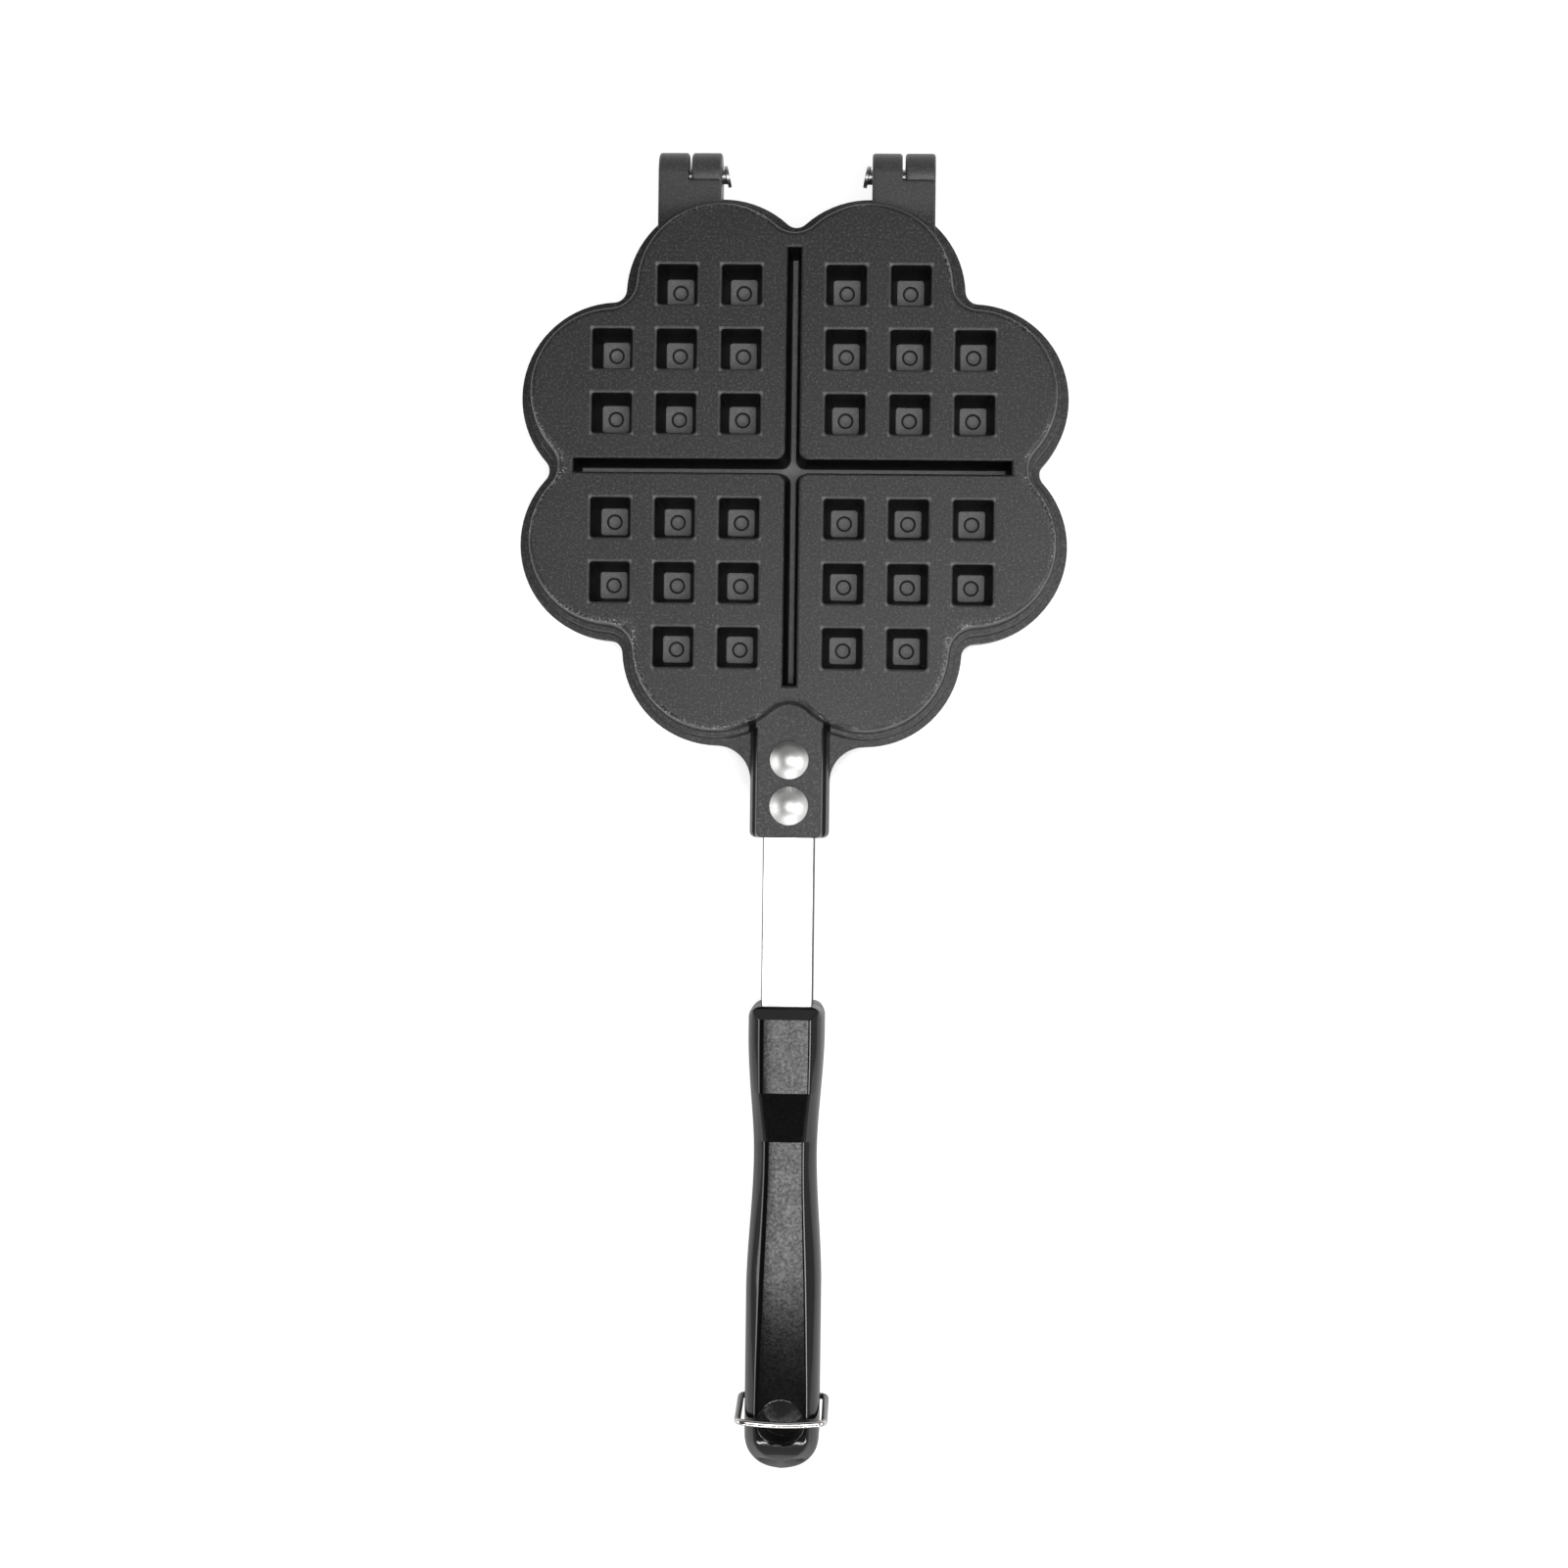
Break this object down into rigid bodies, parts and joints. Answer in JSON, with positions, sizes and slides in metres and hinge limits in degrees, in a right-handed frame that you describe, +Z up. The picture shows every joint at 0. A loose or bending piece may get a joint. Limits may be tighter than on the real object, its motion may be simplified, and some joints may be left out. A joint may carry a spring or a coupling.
{
  "type": "waffle cake mould",
  "caption": "Folding stove-top waffle mould: two hinged heart-patterned plates on strap handles with a wire latch.",
  "frame": {"origin": "on the lower plate's outer face, under the middle of the whole object's box", "axes": "+Y from the handles to the hinge, +Z up out of the upper plate, +X to the right with the hinge at the back"},
  "size_m": [0.1454, 0.3499, 0.033],
  "materials": {
    "coated_casting": "die-cast aluminium under a matt, finely speckled dark grey non-stick coating",
    "strap_steel": "polished steel strip",
    "rivet_steel": "satin domed rivet",
    "screw_steel": "bright zinc-plated",
    "pin_steel": "bright turned steel",
    "handle_plastic": "black phenolic plastic, glossy sides with a matt grained panel on top",
    "latch_wire": "bright nickel-plated spring wire"
  },
  "bodies": {
    "base": {"lower_plate": "coated_casting", "lower_strap": "strap_steel", "lower_handle": "handle_plastic", "neck_rivet_lower_plate_side": "rivet_steel", "neck_rivet_lower_handle_side": "rivet_steel", "handle_screw_lower": "screw_steel", "hinge_pin_left": "pin_steel", "hinge_pin_right": "pin_steel"},
    "lid": {"upper_plate": "coated_casting", "upper_strap": "strap_steel", "upper_handle": "handle_plastic", "neck_rivet_upper_plate_side": "rivet_steel", "neck_rivet_upper_handle_side": "rivet_steel", "handle_screw_upper": "screw_steel"},
    "latch": {"wire_latch": "latch_wire"}
  },
  "joints": [
    {"name": "lid_hinge", "type": "hinge", "parent": "base", "child": "lid", "pos_m": [0, 0.16875, 0.0165], "axis": [-1, 0, 0], "range_deg": [0, 180]},
    {"name": "latch_swing", "type": "hinge", "parent": "base", "child": "latch", "pos_m": [0, -0.15825, 0.0085], "axis": [1, 0, 0], "range_deg": [0, 250]}
  ]
}
